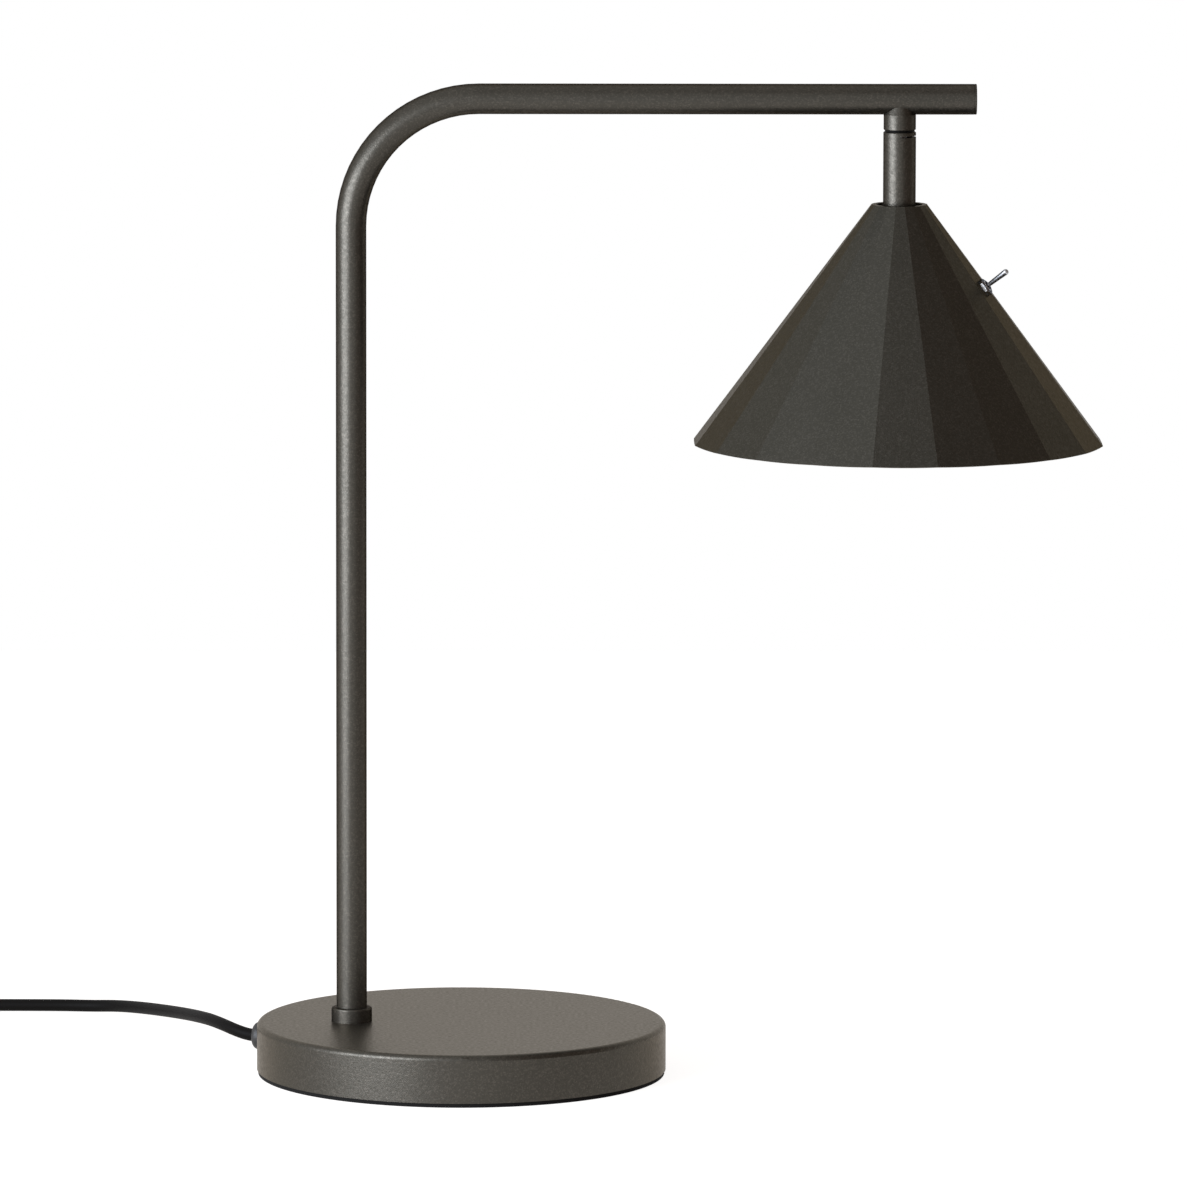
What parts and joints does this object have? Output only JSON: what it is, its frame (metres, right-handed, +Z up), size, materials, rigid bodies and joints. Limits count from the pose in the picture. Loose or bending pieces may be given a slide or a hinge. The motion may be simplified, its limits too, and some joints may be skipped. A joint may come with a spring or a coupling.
{
  "type": "desk lamp",
  "caption": "Desk lamp with a weighted disc base, a tube stem bent into a level arm and a faceted cone shade that swivels under it, with a toggle switch and a mains cord.",
  "frame": {"origin": "centre of the foot pad's underside, on the table", "axes": "+Z up along the stem, +X the way the arm runs from the stem to the shade, +Y away from the viewer"},
  "size_m": [0.768, 0.3755, 0.4895],
  "materials": {
    "bronze_coat": "dark bronze fine-textured powder coat, satin",
    "pad_rubber": "matt black foam rubber",
    "cast_ballast": "rough cast iron",
    "zinc_steel": "zinc-plated turned steel",
    "white_nylon": "natural white nylon",
    "contact_brass": "bare pressed brass",
    "wire_sheath": "white flexible sheath",
    "black_nylon": "moulded black nylon",
    "cord_sheath": "smooth black flexible sheath, satin",
    "pin_nickel": "nickel-plated brass",
    "holder_phenolic": "moulded black phenolic",
    "bulb_aluminium": "rolled bare aluminium",
    "opal_glass": "opal white glass, satin",
    "switch_case": "moulded black thermoset",
    "switch_chrome": "bright nickel-chrome plate"
  },
  "bodies": {
    "stand": {"arm_end_cap": "bronze_coat", "arm_stub": "bronze_coat", "base_plate": "zinc_steel", "base_shell": "bronze_coat", "base_weight": "cast_ballast", "block_screw": "zinc_steel", "cord_coil": "cord_sheath", "cord_gland": "black_nylon", "cord_lead": "cord_sheath", "cord_run": "cord_sheath", "cord_tail": "cord_sheath", "foot_pad": "pad_rubber", "friction_washer": "black_nylon", "gland_nut": "black_nylon", "inner_cable": "wire_sheath", "plate_screws": "zinc_steel", "plug_body": "black_nylon", "plug_pins": "pin_nickel", "ring_nut": "zinc_steel", "spring_washer": "zinc_steel", "stem_bush": "zinc_steel", "stem_collar": "bronze_coat", "stem_nipple": "zinc_steel", "stem_nut": "zinc_steel", "stem_tube": "bronze_coat", "stem_washer": "zinc_steel", "stop_pin": "zinc_steel", "swivel_stud": "zinc_steel", "terminal_block": "white_nylon", "terminal_screws": "contact_brass"},
    "head": {"neck_sleeve": "bronze_coat", "shade": "bronze_coat", "shade_spider": "bronze_coat", "holder_nipple": "zinc_steel", "holder_cap": "holder_phenolic", "holder_body": "holder_phenolic", "screw_shell": "contact_brass", "centre_contact": "contact_brass", "bulb_cap": "bulb_aluminium", "bulb_tip": "contact_brass", "bulb_glass": "opal_glass", "switch_body": "switch_case", "switch_terminals": "contact_brass", "switch_bushing": "switch_chrome", "switch_washer": "switch_chrome", "switch_nut": "switch_chrome", "pivot_pin": "zinc_steel", "switch_lead": "wire_sheath", "neck_lead": "wire_sheath"},
    "lever": {"switch_lever": "switch_chrome"}
  },
  "joints": [
    {"name": "head_swivel", "type": "hinge", "parent": "stand", "child": "head", "pos_m": [0.214, 0, 0.46], "axis": [0, 0, 1], "range_deg": [-155, 155]},
    {"name": "switch_throw", "type": "hinge", "parent": "head", "child": "lever", "pos_m": [0.25595, -0.01363, 0.39133], "axis": [-0.5636, 0.1831, 0.8055], "range_deg": [0, 25]}
  ]
}
